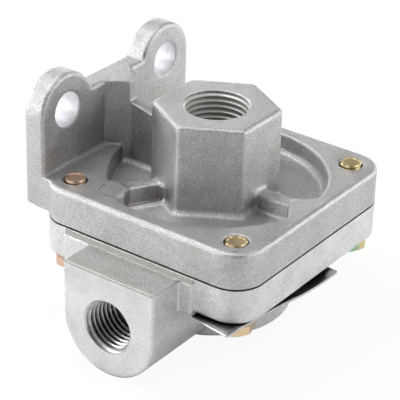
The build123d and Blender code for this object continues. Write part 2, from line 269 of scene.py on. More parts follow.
# masks for painted light: one that is 1 on outer edges and 0 on flats, for a painted highlight, and one for
# inner corners, where the looks paint a highlight on castings and shade in bores
paintedEdgeLook = {"flat": 0.5, "reach": 0.06}   # the pointiness of a flat face, and how far from it a mask is full
paintedEdgeGroup, paintedEdgeIn, paintedEdgeOut = nodeGroup(
    "paintedEdgeLight",
    [("Reach", "NodeSocketFloat", paintedEdgeLook["reach"])],
    [("Edges", "NodeSocketFloat"), ("Corners", "NodeSocketFloat")],
)
shape = paintedEdgeGroup.nodes.new("ShaderNodeNewGeometry")
edgeTop = mathNode(paintedEdgeGroup, "ADD", paintedEdgeLook["flat"])
cornerLow = mathNode(paintedEdgeGroup, "SUBTRACT")
cornerLow.inputs[0].default_value = paintedEdgeLook["flat"]
edgeHighlightMask = rangeNode(paintedEdgeGroup, paintedEdgeLook["flat"], paintedEdgeLook["flat"] + paintedEdgeLook["reach"])
cornerLightShadeMask = rangeNode(paintedEdgeGroup, paintedEdgeLook["flat"] - paintedEdgeLook["reach"], paintedEdgeLook["flat"], 1.0, 0.0)
joinNodes(
    paintedEdgeGroup,
    (paintedEdgeIn.outputs["Reach"], edgeTop.inputs[0]),
    (paintedEdgeIn.outputs["Reach"], cornerLow.inputs[1]),
    (edgeTop.outputs[0], edgeHighlightMask.inputs["From Max"]),
    (cornerLow.outputs[0], cornerLightShadeMask.inputs["From Min"]),
    (shape.outputs["Pointiness"], edgeHighlightMask.inputs["Value"]),
    (shape.outputs["Pointiness"], cornerLightShadeMask.inputs["Value"]),
    (edgeHighlightMask.outputs["Result"], paintedEdgeOut.inputs["Edges"]),
    (cornerLightShadeMask.outputs["Result"], paintedEdgeOut.inputs["Corners"]),
)


def useGroup(tree, group, **values):
    node = tree.nodes.new("ShaderNodeGroup")
    node.node_tree = group
    for label, value in values.items():
        node.inputs[label.replace("_", " ")].default_value = value
    return node


def colourMix(tree, first, second, blend="MIX"):
    mix = tree.nodes.new("ShaderNodeMix")
    mix.data_type = "RGBA"
    mix.blend_type = blend
    mix.inputs["A"].default_value = (*first, 1)
    mix.inputs["B"].default_value = (*second, 1)
    return mix


def mixSockets(mix):
    # the sockets of a colour mix that others join: factor, A and result
    return mix.inputs[0], mix.inputs[6], mix.outputs[2]


def newMaterial(name, **values):
    material = bpy.data.materials.new(name)
    material.use_nodes = True
    shader = material.node_tree.nodes["Principled BSDF"]
    for label, value in values.items():
        shader.inputs[label.replace("_", " ")].default_value = value
    return material, material.node_tree, shader


def bumpNode(tree, shader, height, distance):
    bump = tree.nodes.new("ShaderNodeBump")
    bump.inputs["Strength"].default_value = 1.0
    bump.inputs["Distance"].default_value = distance * mm
    joinNodes(tree, (height, bump.inputs["Height"]), (bump.outputs["Normal"], shader.inputs["Normal"]))


def grainyMetal(name, look):
    # blasted or plated metal: grain and mottling, a painted highlight on edges, painted light in inner
    # corners (a highlight on castings, shade in bores), painted shade in hollows and painted shade on slopes
    # and tops
    material, tree, shader = newMaterial(name, Metallic=look["metallic"])
    place = tree.nodes.new("ShaderNodeTexCoord")
    grain = useGroup(tree, grainGroup, Grain_size=look["grainSize"], Mottle_size=look["mottleSize"])
    paintedEdges = useGroup(tree, paintedEdgeGroup, Reach=look["edgeLightReach"])
    base = colourMix(tree, look["dark"], look["light"])
    # painted highlight on outer edges
    highlitEdges = colourMix(tree, look["dark"], look["edge"])
    # painted light in inner corners: a painted highlight on castings, painted shade in bores
    cornerLightShade = colourMix(tree, look["dark"], look["corner"])
    patch = rangeNode(tree, *look["noiseSpan"])
    speck = rangeNode(tree, *look["noiseSpan"], -look["speck"], look["speck"])
    tone = mathNode(tree, "ADD")
    edgeHighlightShare = mathNode(tree, "MULTIPLY", look["edgeHighlightShare"])
    cornerLightShadeShare = mathNode(tree, "MULTIPLY", look["cornerLightShadeShare"])
    dull, spread = look["roughness"], look["roughSpread"]
    rough = rangeNode(tree, *look["noiseSpan"], dull - spread, dull + spread)
    # painted shade in hollows, from ambient occlusion
    hollowShade = tree.nodes.new("ShaderNodeAmbientOcclusion")
    hollowShade.samples = look["hollowShadeSamples"]
    hollowShade.inputs["Distance"].default_value = look["hollowShadeReach"] * mm
    deep = rangeNode(tree, *look["hollowShadeSpan"], 1.0, 0.0)
    paintedShade = colourMix(tree, look["dark"], look["hollowShade"], "MULTIPLY")
    paintedShadeFactor, paintedShadeBase, paintedShadeColour = mixSockets(paintedShade)
    # painted shade on upward slopes and tops
    facing = tree.nodes.new("ShaderNodeNewGeometry")
    upward = tree.nodes.new("ShaderNodeSeparateXYZ")
    slope = rangeNode(tree, *look["slopeSpan"])
    flat = rangeNode(tree, *look["flatSpan"], 1.0, look["flatTopShade"])
    topShadeShare = mathNode(tree, "MULTIPLY")
    topShaded = colourMix(tree, look["dark"], look["topShade"], "MULTIPLY")
    topShadeFactor, topShadeBase, topShadeColour = mixSockets(topShaded)
    baseFactor, _, baseColour = mixSockets(base)
    edgeHighlightFactor, edgeHighlightBase, edgeHighlightColour = mixSockets(highlitEdges)
    cornerLightShadeFactor, cornerLightShadeBase, cornerLightShadeColour = mixSockets(cornerLightShade)
    joinNodes(
        tree,
        (place.outputs["Object"], grain.inputs["Vector"]),
        (grain.outputs["Mottle"], patch.inputs["Value"]),
        (grain.outputs["Grain"], speck.inputs["Value"]),
        (patch.outputs["Result"], tone.inputs[0]),
        (speck.outputs["Result"], tone.inputs[1]),
        (tone.outputs[0], baseFactor),
        (paintedEdges.outputs["Corners"], cornerLightShadeShare.inputs[0]),
        (cornerLightShadeShare.outputs[0], cornerLightShadeFactor),
        (baseColour, cornerLightShadeBase),
        (paintedEdges.outputs["Edges"], edgeHighlightShare.inputs[0]),
        (edgeHighlightShare.outputs[0], edgeHighlightFactor),
        (cornerLightShadeColour, edgeHighlightBase),
        (hollowShade.outputs["AO"], deep.inputs["Value"]),
        (deep.outputs["Result"], paintedShadeFactor),
        (edgeHighlightColour, paintedShadeBase),
        (facing.outputs["Normal"], upward.inputs[0]),
        (upward.outputs["Z"], slope.inputs["Value"]),
        (upward.outputs["Z"], flat.inputs["Value"]),
        (slope.outputs["Result"], topShadeShare.inputs[0]),
        (flat.outputs["Result"], topShadeShare.inputs[1]),
        (topShadeShare.outputs[0], topShadeFactor),
        (paintedShadeColour, topShadeBase),
        (topShadeColour, shader.inputs["Base Color"]),
        (grain.outputs["Mottle"], rough.inputs["Value"]),
        (rough.outputs["Result"], shader.inputs["Roughness"]),
    )
    bumpNode(tree, shader, grain.outputs["Height"], look["bump"])
    return material


castLook = {
    "metallic": 1.0,
    "dark": (0.48, 0.465, 0.45),
    "light": (0.66, 0.66, 0.67),
    # edge: the colour of the painted highlight on outer edges
    "edge": (0.78, 0.78, 0.78),
    # corner: the colour of the painted highlight in the castings' inner fillets
    "corner": (0.68, 0.67, 0.66),
    "grainSize": 0.34,             # mm
    "mottleSize": 7.0,             # mm
    "noiseSpan": (0.3, 0.7),       # the noise's values that run from dark to light
    "speck": 1.5,                  # how much the fine grain adds to the mottling
    "edgeLightReach": 0.12,             # in pointiness
    "edgeHighlightShare": 0.20,
    "cornerLightShadeShare": 0.3,
    "roughness": 0.43,
    "roughSpread": 0.06,
    "bump": 0.16,                  # mm
    "hollowShadeReach": 8.0,            # mm
    "hollowShadeSpan": (0.10, 0.58),    # the openness at which the painted shade in hollows is full, and where it ends
    "hollowShadeSamples": 12,
    # the tint of the painted shade in hollows
    "hollowShade": (0.40, 0.355, 0.33),
    # the tint of the painted shade on slopes and tops; white leaves the cover untouched
    "topShade": (1.0, 1.0, 1.0),
    "slopeSpan": (0.25, 0.45),     # how far a face looks up where the painted shade begins, and where it is full
    "flatSpan": (0.75, 0.95),      # and where it falls to its share on flat tops
    "flatTopShade": 1.0,
}
castAluminium = grainyMetal("castAluminium", castLook)

# the body is the paler of the two castings, with a brighter painted highlight on its edges and painted shade
# on its slopes and tops
bodyLook = dict(castLook, dark=(0.67, 0.67, 0.665), light=(0.87, 0.875, 0.88), edge=(0.91, 0.91, 0.91),
                corner=(0.78, 0.78, 0.78), topShade=(0.42, 0.41, 0.38), flatTopShade=0.5, speck=1.15)
bodyAluminium = grainyMetal("bodyAluminium", bodyLook)

# painted shade: the dark corner colour and the short hollow reach darken the thread roots and the bores'
# inner corners
machinedLook = dict(castLook, dark=(0.88, 0.87, 0.85), light=(0.96, 0.955, 0.94), edge=(0.97, 0.97, 0.97),
                    corner=(0.30, 0.29, 0.28), metallic=0.25, roughness=0.32, grainSize=0.25, bump=0.008,
                    speck=0.15, cornerLightShadeShare=0.5, hollowShadeReach=1.0, hollowShade=(0.35, 0.34, 0.32),
                    hollowShadeSpan=(0.25, 0.95))
machinedAluminium = grainyMetal("machinedAluminium", machinedLook)

# the delivery ports are a darker grey than the supply port, and all metal
reamedLook = dict(machinedLook, dark=(0.40, 0.40, 0.40), light=(0.52, 0.52, 0.52), metallic=1.0,
                  roughness=0.36)
reamedAluminium = grainyMetal("reamedAluminium", reamedLook)

# the mounting holes are pale and dull inside, with fine marks round them
drilledLook = {
    "dark": (0.62, 0.62, 0.65),
    "light": (0.90, 0.90, 0.94),
    "metallic": 0.35,
    "roughness": 0.5,
    "markWidth": 0.16,     # mm
    "markStretch": 0.10,
    "markDetail": 3.0,
    "markSpan": (0.3, 0.6),
    "bump": 0.02,          # mm
}
drilledAluminium, tree, shader = newMaterial("drilledAluminium", Metallic=drilledLook["metallic"],
                                             Roughness=drilledLook["roughness"])
place = tree.nodes.new("ShaderNodeTexCoord")
stretch = tree.nodes.new("ShaderNodeMapping")
stretch.inputs["Scale"].default_value = (1, drilledLook["markStretch"], drilledLook["markStretch"])
marks = noiseNode(tree, 1 / (drilledLook["markWidth"] * mm), drilledLook["markDetail"])
markTone = rangeNode(tree, *drilledLook["markSpan"])
markMix = colourMix(tree, drilledLook["dark"], drilledLook["light"])
joinNodes(
    tree,
    (place.outputs["Object"], stretch.inputs["Vector"]),
    (stretch.outputs["Vector"], marks.inputs["Vector"]),
    (marks.outputs["Fac"], markTone.inputs["Value"]),
    (markTone.outputs["Result"], mixSockets(markMix)[0]),
    (mixSockets(markMix)[2], shader.inputs["Base Color"]),
)
bumpNode(tree, shader, marks.outputs["Fac"], drilledLook["bump"])

# the washers and spring keep the castings' painted highlight on edges and painted shade in hollows
washerLook = dict(castLook, dark=(0.45, 0.44, 0.42), light=(0.60, 0.59, 0.56), roughness=0.38, bump=0.01,
                  speck=0.5, hollowShadeReach=2.0)
washerSteel = grainyMetal("washerSteel", washerLook)

# the strip's edges carry a bright painted highlight, and the near-black hollow tint paints the shadow under
# the flange
tagLook = dict(castLook, dark=(0.52, 0.52, 0.52), light=(0.64, 0.64, 0.64), roughness=0.22, bump=0.006,
               speck=0.3, mottleSize=9.0, edge=(0.97, 0.97, 0.97), edgeHighlightShare=0.9, hollowShadeReach=7.0,
               hollowShade=(0.04, 0.04, 0.04), hollowShadeSpan=(0.25, 0.85))
tagSheet = grainyMetal("tagSheet", tagLook)

springLook = dict(washerLook, dark=(0.40, 0.40, 0.41), light=(0.55, 0.55, 0.56), roughness=0.25)
springSteel = grainyMetal("springSteel", springLook)

# yellow zinc plating: pale gold that drifts to pink on one side of the valve and to green on the other
zincLook = {
    "gold": (0.87, 0.72, 0.38),
    "pink": (0.88, 0.60, 0.48),
    "green": (0.18, 0.60, 0.46),
    "patchSize": 2.6,      # mm
    "patchDetail": 2.0,
    "greenScale": 0.8,     # the green patches are larger than the pink ones
    "spotSpan": (0.35, 0.65),
    "pinkSpot": (-0.3, 0.6),
    "greenSpot": (-0.9, 0.3),
    "drift": 0.015,        # share per mm across the valve
    "headPink": 0.40,
    "headSpan": (-20.0, -30.0),    # mm, the heights over which the tips give way to the heads
    "grainSize": 0.2,      # mm
    "mottleSize": 3.0,     # mm
    "roughness": 0.30,
    "bump": 0.008,         # mm
}
yellowZinc, tree, shader = newMaterial("yellowZinc", Metallic=1.0, Roughness=zincLook["roughness"])
place = tree.nodes.new("ShaderNodeTexCoord")
split = tree.nodes.new("ShaderNodeSeparateXYZ")
across = mathNode(tree, "ADD")
lean = mathNode(tree, "MULTIPLY", zincLook["drift"] / mm)
pinkNoise = noiseNode(tree, 1 / (zincLook["patchSize"] * mm), zincLook["patchDetail"])
greenNoise = noiseNode(tree, zincLook["greenScale"] / (zincLook["patchSize"] * mm), zincLook["patchDetail"])
pinkSpot = rangeNode(tree, *zincLook["spotSpan"], *zincLook["pinkSpot"])
pinkHead = mathNode(tree, "MULTIPLY_ADD", zincLook["headPink"])
greenSpot = rangeNode(tree, *zincLook["spotSpan"], *zincLook["greenSpot"])
pinkPart = mathNode(tree, "SUBTRACT")
greenPart = mathNode(tree, "ADD")
low = rangeNode(tree, *(height * mm for height in zincLook["headSpan"]))
lowGreen = mathNode(tree, "MULTIPLY")
pinkMix = colourMix(tree, zincLook["gold"], zincLook["pink"])
greenMix = colourMix(tree, zincLook["gold"], zincLook["green"])
grain = useGroup(tree, grainGroup, Grain_size=zincLook["grainSize"], Mottle_size=zincLook["mottleSize"])
for part in (pinkPart, greenPart):
    part.use_clamp = True
joinNodes(
    tree,
    (place.outputs["Object"], pinkNoise.inputs["Vector"]),
    (place.outputs["Object"], greenNoise.inputs["Vector"]),
    (place.outputs["Object"], grain.inputs["Vector"]),
    (place.outputs["Object"], split.inputs[0]),
    (split.outputs["X"], across.inputs[0]),
    (split.outputs["Y"], across.inputs[1]),
    (across.outputs[0], lean.inputs[0]),
    (pinkNoise.outputs["Fac"], pinkSpot.inputs["Value"]),
    (greenNoise.outputs["Fac"], greenSpot.inputs["Value"]),
    (low.outputs["Result"], pinkHead.inputs[0]),
    (pinkSpot.outputs["Result"], pinkHead.inputs[2]),
    (pinkHead.outputs[0], pinkPart.inputs[0]),
    (lean.outputs[0], pinkPart.inputs[1]),
    (greenSpot.outputs["Result"], greenPart.inputs[0]),
    (lean.outputs[0], greenPart.inputs[1]),
    (split.outputs["Z"], low.inputs["Value"]),
    (low.outputs["Result"], lowGreen.inputs[0]),
    (greenPart.outputs[0], lowGreen.inputs[1]),
    (pinkPart.outputs[0], mixSockets(pinkMix)[0]),
    (lowGreen.outputs[0], mixSockets(greenMix)[0]),
    (mixSockets(pinkMix)[2], mixSockets(greenMix)[1]),
    (mixSockets(greenMix)[2], shader.inputs["Base Color"]),
)
bumpNode(tree, shader, grain.outputs["Height"], zincLook["bump"])

# rubber: near black, with a dusty bloom
rubberLook = {"dark": (0.018, 0.018, 0.019), "bloom": (0.05, 0.05, 0.05), "roughness": 0.62,
              "grainSize": 0.3, "mottleSize": 4.0, "bump": 0.015}   # the last three in mm
blackRubber, tree, shader = newMaterial("blackRubber", Roughness=rubberLook["roughness"])
place = tree.nodes.new("ShaderNodeTexCoord")
grain = useGroup(tree, grainGroup, Grain_size=rubberLook["grainSize"], Mottle_size=rubberLook["mottleSize"])
bloom = colourMix(tree, rubberLook["dark"], rubberLook["bloom"])
joinNodes(
    tree,
    (place.outputs["Object"], grain.inputs["Vector"]),
    (grain.outputs["Mottle"], mixSockets(bloom)[0]),
    (mixSockets(bloom)[2], shader.inputs["Base Color"]),
)
bumpNode(tree, shader, grain.outputs["Height"], rubberLook["bump"])
print("materials made")


# castings: the frame's solids with their sharp corners softened, then machined

castSkin = {
    "grid": 0.3,           # mm between the skin's points before it is thinned
    "keep": 0.40,          # share of the faces that stays
    "soften": 0.5,         # how far each smoothing moves a point
    "coverTimes": 6,       # smoothings
    "bodyTimes": 3,
    "tower": {"above": -19.5, "radius": 17.5, "times": 36},   # mm; the tower has rounder corners
    "waveSize": 9.0,       # mm, the casting's slight unevenness
    "waveHeight": 0.10,    # mm
}

castWaves = bpy.data.textures.new("castWaves", "CLOUDS")
castWaves.noise_scale = castSkin["waveSize"] * mm

plateShape = {
    "x": 60.0, "y": 61.0, "corner": 7.5,   # mm
    "cornerSteps": 16,
    "parting": -26.9,
    "skirt": 1.0,           # how far each casting runs past the parting plane before it is faced
    "rim": 24.0,            # the skirt stays outside this radius
    "gap": 0.50,            # dark line round the parting
    "gapDepth": 1.5,
    "spare": 3.0,           # how far the facing cutters run past the outline
}


def roundedPlate(inset, bottom, top, hole=0.0):
    # the plates' outline, drawn in by the inset, with a round hole if one is given
    bm = bmesh.new()
    bmesh.ops.create_cube(bm, size=1.0)
    width, depth = plateShape["x"] - 2 * inset, plateShape["y"] - 2 * inset
    bmesh.ops.scale(bm, vec=(width * mm, depth * mm, (top - bottom) * mm), verts=bm.verts)
    bmesh.ops.translate(bm, vec=(0, 0, (bottom + top) / 2 * mm), verts=bm.verts)
    roundEdges(bm, uprightEdges(bm), plateShape["corner"] - inset, plateShape["cornerSteps"])
    plate = meshObject(bm, "plate", castAluminium)
    if hole:
        carve(plate, meshObject(disc(hole, bottom - overrun, top + overrun), "hole", castAluminium))
    return plate


def skirtPlug():
    # carries a casting's edge past the parting plane
    plane, skirt = plateShape["parting"], plateShape["skirt"]
    return roundedPlate(0, plane - skirt, plane + skirt, plateShape["rim"])


def facePlate(piece, side):
    # faces a casting flat at the parting plane, and leaves the narrow gap round its edge
    plane, gap, spare = (plateShape[part] for part in ("parting", "gap", "spare"))
    carve(piece, roundedPlate(-spare, *sorted((plane, plane - side * spare))))
    slit = roundedPlate(-spare, plane - gap / 2, plane + gap / 2)
    carve(slit, roundedPlate(plateShape["gapDepth"], plane - overrun, plane + overrun))
    carve(piece, slit)


def casting(node, name, plugs, softening, cuts=(), softer=None):
    # cuts trim the solid; plugs add metal, such as what the threads and the parting face are cut from
    piece = meshObject(mergedCopy(node), name, castAluminium)
    for cut in cuts:
        carve(piece, cut)
    bm = bmesh.new()
    for part in [piece] + plugs:
        bm.from_mesh(part.data)
    for plug in plugs:
        bpy.data.objects.remove(plug)
    bm.to_mesh(piece.data)
    bm.free()
    skin = piece.modifiers.new("skin", "REMESH")
    skin.mode = "VOXEL"
    skin.voxel_size = castSkin["grid"] * mm
    bakeModifiers(piece)
    soften = piece.modifiers.new("soften", "SMOOTH")
    soften.factor = castSkin["soften"]
    soften.iterations = softening
    if softer:
        inside = [v.index for v in piece.data.vertices
                  if v.co.z > softer["above"] * mm and math.hypot(v.co.x, v.co.y) < softer["radius"] * mm]
        piece.vertex_groups.new(name="softer").add(inside, 1.0, "REPLACE")
        more = piece.modifiers.new("more", "SMOOTH")
        more.factor = castSkin["soften"]
        more.iterations = softer["times"]
        more.vertex_group = "softer"
    waves = piece.modifiers.new("waves", "DISPLACE")
    waves.texture = castWaves
    waves.texture_coords = "LOCAL"
    waves.strength = castSkin["waveHeight"] * mm
    thin = piece.modifiers.new("thin", "DECIMATE")
    thin.ratio = castSkin["keep"]
    bakeModifiers(piece)
    return piece


def drill(radius, depth, mouth, taper=0.0, finish=machinedAluminium):
    # a drill with a countersink of 45 degrees; it points along -Z and its mouth lies at z = 0
    past = overrun / 2
    points = [(0, -depth), (radius - taper * depth, -depth), (radius, radius - mouth), (mouth, 0),
              (mouth + past, past), (0, past)]
    return meshObject(turned(points), "drill", finish)


def tapPort(piece, port, matrix, finish):
    # cast mouth, pilot bore, then the pipe thread, which runs out at the face
    crest = port["crest"]
    carve(piece, placed(drill(crest, port["castDepth"], port["mouth"], 0.0, castAluminium), matrix))
    pilot = drill(crest + apart, port["depth"], crest + port["edge"], port["taper"], finish)
    carve(piece, placed(pilot, matrix))
    thread = dict(port, root=crest - port["overlap"], crest=port["major"])
    tap = meshObject(threadedRod(thread, -port["threadDepth"], overrun), "tap", finish)
    carve(piece, placed(tap, matrix))


def portPlug(port):
    # metal for the thread, round the port's passage; its mouth lies at z = 0
    radius, depth, passage = port["plug"]
    plug = meshObject(disc(radius, -depth, 0), "plug")
    carve(plug, meshObject(disc(passage, -depth - overrun, overrun), "passage"))
    return plug


# radii and lengths in mm; crest and major are the thread's inner and outer radius
pipeThread = {"pitch": 1.411, "flat": 0.08, "taper": 1 / 32, "overlap": 0.1, "edge": 0.05, "castDepth": 1.0}
supplyPort = dict(pipeThread, major=8.45, crest=7.6, mouth=8.1, depth=14.0, threadDepth=13.17,
                  plug=(8.75, 14.4, 6.2))
deliveryPort = dict(pipeThread, major=6.75, crest=5.9, mouth=6.85, depth=13.0, threadDepth=12.0,
                    plug=(7.1, 13.4, 5.0))
coverHoles = {
    "plateTop": -17.7, "screwX": 23.2, "screwY": 24.0, "screwHole": 2.80, "screwMouth": 2.9,
    "screwDepth": 12.0,
    "earX": -35.2, "earY": 19.05, "earZ": -3.3, "earThickness": 5.7, "earHole": 4.39, "earMouth": 4.6,
    "backDepth": 8.0, "frontDepth": 3.0,
}
screwPlaces = [(x * coverHoles["screwX"], y * coverHoles["screwY"])
               for x, y in ((1, -1), (1, 1), (-1, 1), (-1, -1))]

# the recess is a little flatter on one side
recessFlat = {"floor": -22.9, "top": -17.75, "rim": 27.4, "radius": 35.8, "shift": 10.4, "azimuth": 212.0,
              "steps": 192}


def flatPlug():
    low, top, radius = (recessFlat[part] for part in ("floor", "top", "radius"))
    plug = meshObject(disc(recessFlat["rim"], low, top), "plug")
    a = math.radians(recessFlat["azimuth"])
    shift = Vector((-math.cos(a), -math.sin(a), 0)) * recessFlat["shift"] * mm
    cutter = disc(radius, low - overrun, top + overrun, recessFlat["steps"])
    carve(plug, placed(meshObject(cutter, "hole"), Matrix.Translation(shift)))
    return plug


# ribs as cast: each ends in a flush, flared pad; along its direction and across it, in mm
ribShape = {
    "floor": -22.6, "ribTop": -18.12, "flush": -17.72, "trimFloor": -22.4, "trimTop": -17.0,
    "ribs": ((0, "flare", "sideFill"), (120, "flare", "sideFill"), (240, "leftFlare", "leftSideFill")),
    "leftRib": 240,                 # degrees
    "flare": [(22.4, -0.9), (23.4, -1.4), (24.8, -2.8), (26.3, -5.0), (29.0, -5.5), (29.0, 7.9), (26.1, 7.9),
              (24.4, 5.2), (22.7, 2.5)],
    "leftFlare": [(22.4, -0.6), (25.5, -2.4), (26.6, -3.2), (29.0, -3.4), (29.0, 6.6), (26.3, 6.6),
                  (24.6, 5.0), (22.9, 3.4)],
    "sideFill": [(12.5, 1.5), (23.5, 1.5), (23.5, 2.3), (12.5, 2.3)],
    "leftSideFill": [(12.5, 1.5), (24.0, 1.5), (24.0, 3.5), (12.5, 3.5)],
    "leftTrim": [(14.2, -1.9), (24.0, -1.9), (22.0, -0.4), (14.2, -0.4)],
}


def slab(points, bottom, top, azimuth):
    # an upright block on the outline of points (along, across), turned to the azimuth
    bm = bmesh.new()
    outline = bm.faces.new([bm.verts.new((x * mm, -y * mm, bottom * mm)) for x, y in points])
    raised = bmesh.ops.extrude_face_region(bm, geom=[outline])
    newVerts = [v for v in raised["geom"] if isinstance(v, bmesh.types.BMVert)]
    bmesh.ops.translate(bm, verts=newVerts, vec=(0, 0, (top - bottom) * mm))
    bmesh.ops.recalc_face_normals(bm, faces=bm.faces)
    return placed(meshObject(bm, "slab", castAluminium), Matrix.Rotation(math.radians(azimuth), 4, "Z"))


ribPlugs = []
for azimuth, flare, fill in ribShape["ribs"]:
    ribPlugs.append(slab(ribShape[flare], ribShape["floor"], ribShape["flush"], azimuth))
    ribPlugs.append(slab(ribShape[fill], ribShape["floor"], ribShape["ribTop"], azimuth))
ribTrim = slab(ribShape["leftTrim"], ribShape["trimFloor"], ribShape["trimTop"], ribShape["leftRib"])

# the left pad's shallow round mark, which is cut only outside the recess's rim
padMark = {"floor": -17.92, "place": 26.0, "inner": 3.0, "outer": 3.4, "rim": 27.1, "steps": 72,
           "rimSteps": 144}


def padGroove():
    low, high = padMark["floor"], padMark["floor"] + overrun
    ring = turned(section(padMark["inner"], padMark["outer"], low, high), padMark["steps"], closed=True)
    turn = Matrix.Rotation(math.radians(ribShape["leftRib"]), 4, "Z")
    groove = meshObject(ring, "groove", castAluminium)
    placed(groove, turn @ Matrix.Translation((padMark["place"] * mm, 0, 0)))
    inside = disc(padMark["rim"], low - overrun, high + overrun, padMark["rimSteps"])
    carve(groove, meshObject(inside, "rim"))
    return groove


coverPlugs = [portPlug(supplyPort), skirtPlug(), flatPlug()] + ribPlugs
castCover = casting("cover", "castCover", coverPlugs, castSkin["coverTimes"], [ribTrim], castSkin["tower"])
facePlate(castCover, 1)
carve(castCover, padGroove())
tapPort(castCover, supplyPort, Matrix.Identity(4), machinedAluminium)
for x, y in screwPlaces:
    hole = drill(coverHoles["screwHole"], coverHoles["screwDepth"], coverHoles["screwMouth"])
    carve(castCover, placed(hole, Matrix.Translation(Vector((x, y, coverHoles["plateTop"])) * mm)))
earHole, earMouth = coverHoles["earHole"], coverHoles["earMouth"]
for side in (-1, 1):
    place = Vector((coverHoles["earX"], side * coverHoles["earY"], coverHoles["earZ"]))
    back = drill(earHole, coverHoles["backDepth"], earMouth, 0.0, drilledAluminium)
    carve(castCover, placed(back, towards((-1, 0, 0), place)))
    place.x += coverHoles["earThickness"]
    front = drill(earHole + apart, coverHoles["frontDepth"], earMouth, 0.0, drilledAluminium)
    carve(castCover, placed(front, towards((1, 0, 0), place)))
shadeSmooth(castCover)
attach(castCover, "housing")
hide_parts("cover")
print("cover cast and machined:", len(castCover.data.polygons), "faces")

bodyBores = {"reach": 40.8, "axisZ": -41.4, "drumBottom": -52.0, "exhaust": 6.33, "exhaustMouth": 6.9,
             "exhaustDepth": 20.0, "flangeHole": 3.08, "flangeMouth": 3.28, "flangeBottom": -36.3,
             "flangeDepth": 12.0}
deliveryMouths = [towards((0, side, 0), (0, side * bodyBores["reach"], bodyBores["axisZ"]))
                  for side in (-1, 1)]
bodyPlugs = [skirtPlug()] + [placed(portPlug(deliveryPort), mouth) for mouth in deliveryMouths]
castBody = casting("body", "castBody", bodyPlugs, castSkin["bodyTimes"])
facePlate(castBody, -1)
for mouth in deliveryMouths:
    tapPort(castBody, deliveryPort, mouth, reamedAluminium)
exhaust = drill(bodyBores["exhaust"], bodyBores["exhaustDepth"], bodyBores["exhaustMouth"])
carve(castBody, placed(exhaust, towards((0, 0, -1), (0, 0, bodyBores["drumBottom"]))))
for x, y in screwPlaces:
    hole = drill(bodyBores["flangeHole"], bodyBores["flangeDepth"], bodyBores["flangeMouth"])
    carve(castBody, placed(hole, towards((0, 0, -1), (x, y, bodyBores["flangeBottom"]))))
for slot in castBody.material_slots:
    if slot.material == castAluminium:
        slot.material = bodyAluminium
shadeSmooth(castBody)
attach(castBody, "housing")
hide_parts("body")
print("body cast and machined:", len(castBody.data.polygons), "faces")


# cap screws and lock washers, in mm and degrees

screwShape = {
    "thread": {"crest": 2.55, "root": 2.20, "pitch": 1.06, "flat": 0.12, "taper": 0.0},
    "length": 20.1,
    "spare": 2.0,           # how much longer at each end the thread is before it is trimmed
    "sunk": 0.5,            # how far the rod reaches into the head
    "loose": 0.2,           # the trimming shape stands off the crests by this
    "point": 0.25,          # chamfer at the tip
    "dish": (0.55, 0.16),   # the tip's rim, and how deep its middle lies
    "headSides": 6,
    "headFlats": 9.5,
    "headHeight": 2.4,
    "headEdge": 0.12,
    "headDome": (0.9, 0.5),   # how far out and up the chamfer below the head's corners goes
    "turns": [50.0, 3.0, 5.0, 13.0],
    "steps": 48,
    "domeSteps": 72,
}


def capScrew(number, x, y):
    low = (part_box(f"cap_screw_{number}")[0] / mm).z
    flats, height, sides = (screwShape[part] for part in ("headFlats", "headHeight", "headSides"))
    spare, loose, point, steps = (screwShape[part] for part in ("spare", "loose", "point", "steps"))
    headTop = low + height
    tip = headTop + screwShape["length"]

    # the threaded rod, trimmed to a chamfered and dished tip
    thread = threadedRod(screwShape["thread"], headTop - spare, tip + spare, steps)
    rod = meshObject(thread, f"capScrew{number}", yellowZinc)
    crest = screwShape["thread"]["crest"]
    rim, deep = screwShape["dish"]
    start = headTop - screwShape["sunk"]
    blank = turned([(0, start), (crest + loose, start), (crest + loose, tip - point - loose),
                    (crest, tip - point), (crest - point, tip), (crest - rim, tip),
                    (crest - rim - deep, tip - deep), (0, tip - deep)], steps)
    carve(rod, meshObject(blank, "blank", yellowZinc), "INTERSECT")

    # the hexagon head, chamfered below
    bm = bmesh.new()
    corner = flats / 3**0.5 * mm
    bmesh.ops.create_cone(bm, cap_ends=True, segments=sides, radius1=corner, radius2=corner,
                          depth=height * mm)
    roundEdges(bm, uprightEdges(bm), screwShape["headEdge"], 2)
    turn = math.radians(screwShape["turns"][number - 1] + 180 / sides)
    bmesh.ops.rotate(bm, verts=bm.verts, cent=(0, 0, 0), matrix=Matrix.Rotation(turn, 3, "Z"))
    bmesh.ops.translate(bm, verts=bm.verts, vec=(0, 0, (headTop - height / 2) * mm))
    head = meshObject(bm, "head", yellowZinc)
    out, up = screwShape["headDome"]
    dome = turned([(0, low), (flats / 2, low), (flats / 2 + out, low + up), (flats / 2 + out, headTop),
                   (0, headTop)], screwShape["domeSteps"])
    carve(head, meshObject(dome, "dome", yellowZinc), "INTERSECT")
    carve(rod, head, "UNION")
    placed(rod, Matrix.Translation((x * mm, y * mm, 0)))
    shadeSmooth(rod)
    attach(rod, "housing")
    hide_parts(f"cap_screw_{number}")


washerShape = {"bore": 3.05, "rim": 4.8, "thickness": 0.9, "split": 9.0, "edge": 0.1, "steps": 60}


